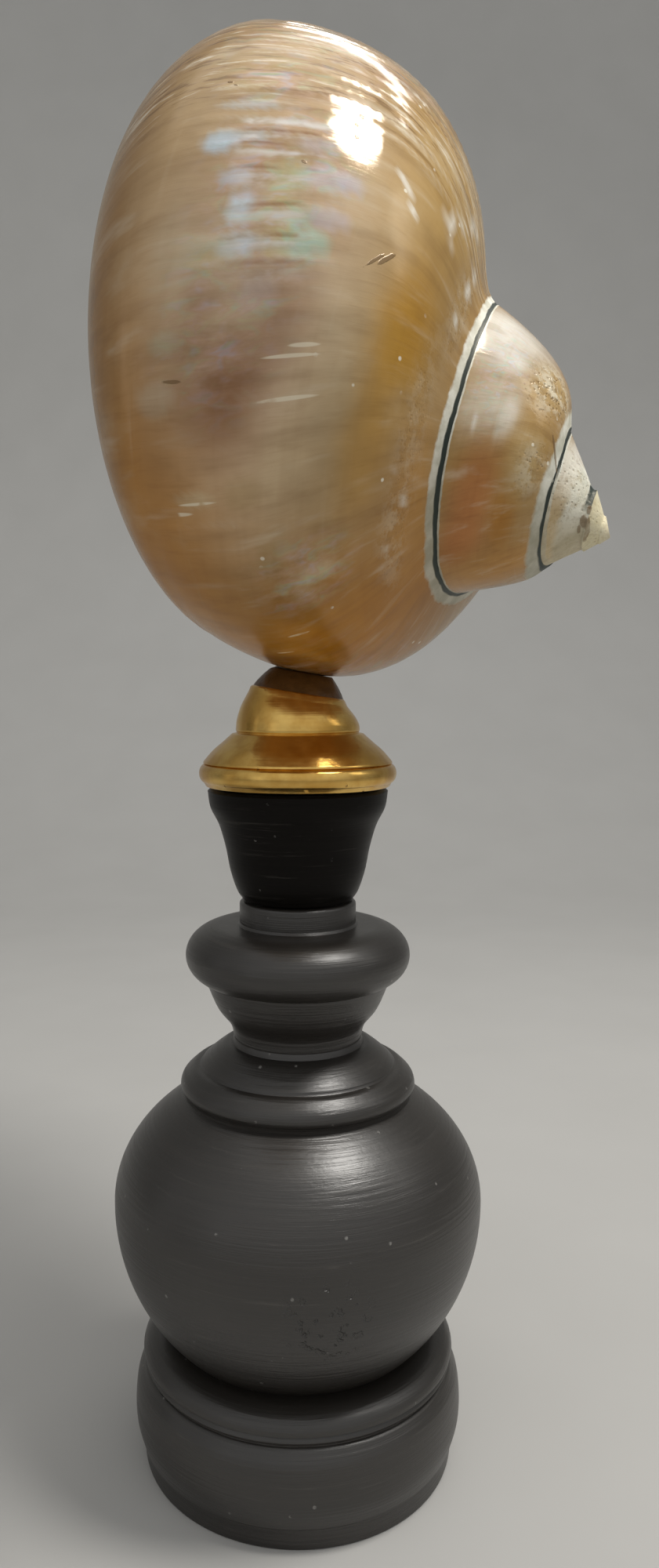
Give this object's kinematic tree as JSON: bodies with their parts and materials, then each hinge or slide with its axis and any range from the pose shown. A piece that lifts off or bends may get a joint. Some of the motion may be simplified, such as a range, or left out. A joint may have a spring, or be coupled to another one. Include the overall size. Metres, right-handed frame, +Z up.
{
  "type": "turban shell on stand",
  "caption": "Polished pearly turban shell, apex to the right, set on a spun brass cap and a turned black wooden pedestal with a round flat foot.",
  "frame": {"origin": "centre of the pedestal's flat foot, on the table", "axes": "+Z up along the stand's turning axis, +X towards the side the shell's apex points to, -Y towards the viewer of the shell's closed side"},
  "size_m": [0.0712, 0.0864, 0.2],
  "materials": {
    "nacre": "polished nacre, golden brown with pearly patches",
    "dark_glue": "dark brown set glue, smooth",
    "brass": "polished spun brass with small nicks",
    "neck_wood": "satin black lacquer",
    "black_wood": "satin black paint with fine turning strokes"
  },
  "bodies": {
    "root": {"shell": "nacre", "glue_bed": "dark_glue", "brass_cap": "brass", "neck": "neck_wood", "pedestal": "black_wood"}
  },
  "joints": []
}
